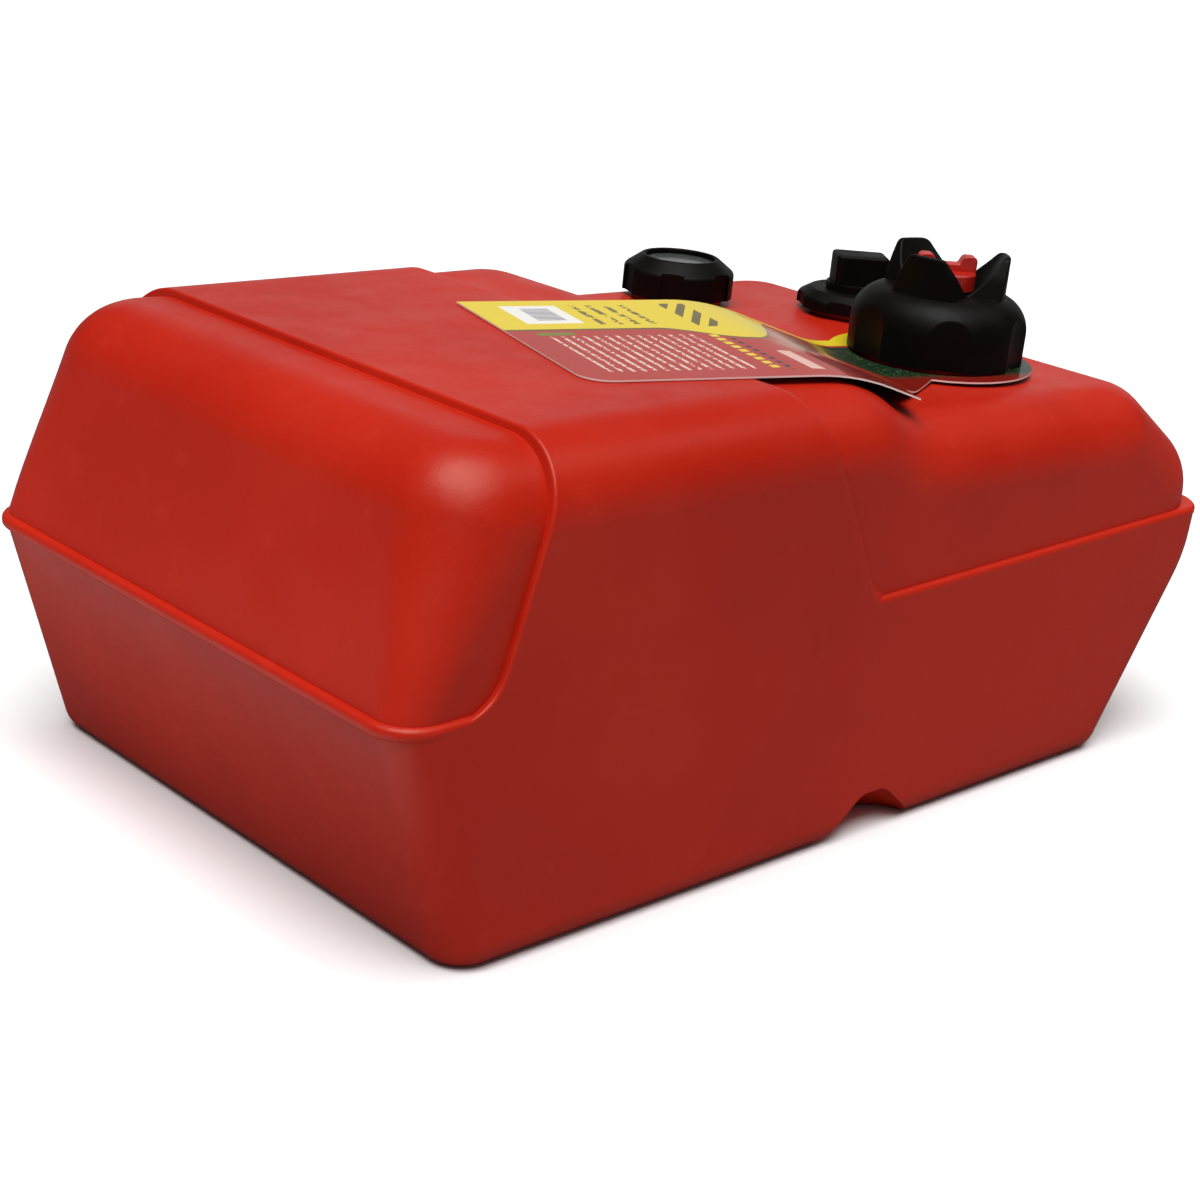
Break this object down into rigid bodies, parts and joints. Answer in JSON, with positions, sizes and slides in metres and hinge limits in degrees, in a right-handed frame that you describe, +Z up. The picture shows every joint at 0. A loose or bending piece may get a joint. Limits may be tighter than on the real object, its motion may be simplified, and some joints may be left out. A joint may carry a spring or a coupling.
{
  "type": "outboard fuel tank",
  "caption": "Portable outboard fuel tank with raised saddle, screw filler cap with vent knob, float gauge, pickup fitting and hang tag.",
  "frame": {"origin": "on the floor under the middle of the tank's bounding box", "axes": "+X along the tank towards the low deck with the fittings, +Y across it away from the filler cap, +Z up"},
  "size_m": [0.528, 0.296, 0.241],
  "materials": {
    "red_polyethylene": "satin blow-moulded polyethylene, softly grained",
    "black_nylon": "satin black moulded nylon",
    "black_liner": "matt black moulded plastic",
    "red_nylon": "red moulded nylon",
    "rubber": "black nitrile rubber",
    "steel": "plain stainless steel",
    "clear_acrylic": "clear polished acrylic",
    "dial": "matt dark printed disc",
    "pointer": "orange-red moulded plastic",
    "float_foam": "closed-cell nitrile foam",
    "white_polyethylene": "natural polyethylene",
    "tag_card": "printed coated card"
  },
  "bodies": {
    "tank": {"tank_shell": "red_polyethylene", "gauge_nut": "black_nylon", "gauge_lens": "clear_acrylic", "lens_seal": "rubber", "gauge_gasket": "rubber", "gauge_frame": "black_liner", "gauge_foot": "black_liner", "gauge_dial": "dial", "pickup_nut": "black_nylon", "pickup_gasket": "rubber", "pickup_body": "black_nylon", "pickup_tube": "white_polyethylene", "strainer_screen": "white_polyethylene", "strainer_cap": "white_polyethylene", "hang_tag": "tag_card"},
    "cap_carrier": {"cap_gasket": "rubber"},
    "cap": {"filler_cap": "black_nylon", "cap_liner": "black_liner"},
    "vent_carrier": {"vent_seal": "rubber"},
    "vent": {"vent_knob": "red_nylon", "vent_clip": "steel"},
    "float": {"gauge_float": "float_foam", "drive_plate": "black_liner"},
    "indicator": {"spindle": "steel", "gauge_pointer": "pointer"}
  },
  "joints": [
    {"name": "cap_lift", "type": "slide", "parent": "tank", "child": "cap_carrier", "axis": [0, 0, 1], "range_m": [0, 0.009]},
    {"name": "cap_turn", "type": "hinge", "parent": "cap_carrier", "child": "cap", "pos_m": [0.14, -0.052, 0.19], "axis": [0, 0, 1], "range_deg": [0, 540]},
    {"name": "vent_lift", "type": "slide", "parent": "cap", "child": "vent_carrier", "axis": [0, 0, 1], "range_m": [0, 0.002]},
    {"name": "vent_turn", "type": "hinge", "parent": "vent_carrier", "child": "vent", "pos_m": [0.14, -0.052, 0.222], "axis": [0, 0, 1], "range_deg": [0, 360]},
    {"name": "float_rise", "type": "slide", "parent": "tank", "child": "float", "axis": [0, 0, 1], "range_m": [0, 0.1275]},
    {"name": "indicator_turn", "type": "hinge", "parent": "tank", "child": "indicator", "pos_m": [0.108, 0.096, 0.2], "axis": [0, 0, 1], "range_deg": [-270, 0]}
  ],
  "couplings": [
    {"joint": "cap_turn", "follows": "cap_lift", "rad_per_m": 1047.2},
    {"joint": "vent_turn", "follows": "vent_lift", "rad_per_m": 3141.6},
    {"joint": "indicator_turn", "follows": "float_rise", "rad_per_m": -36.96}
  ]
}
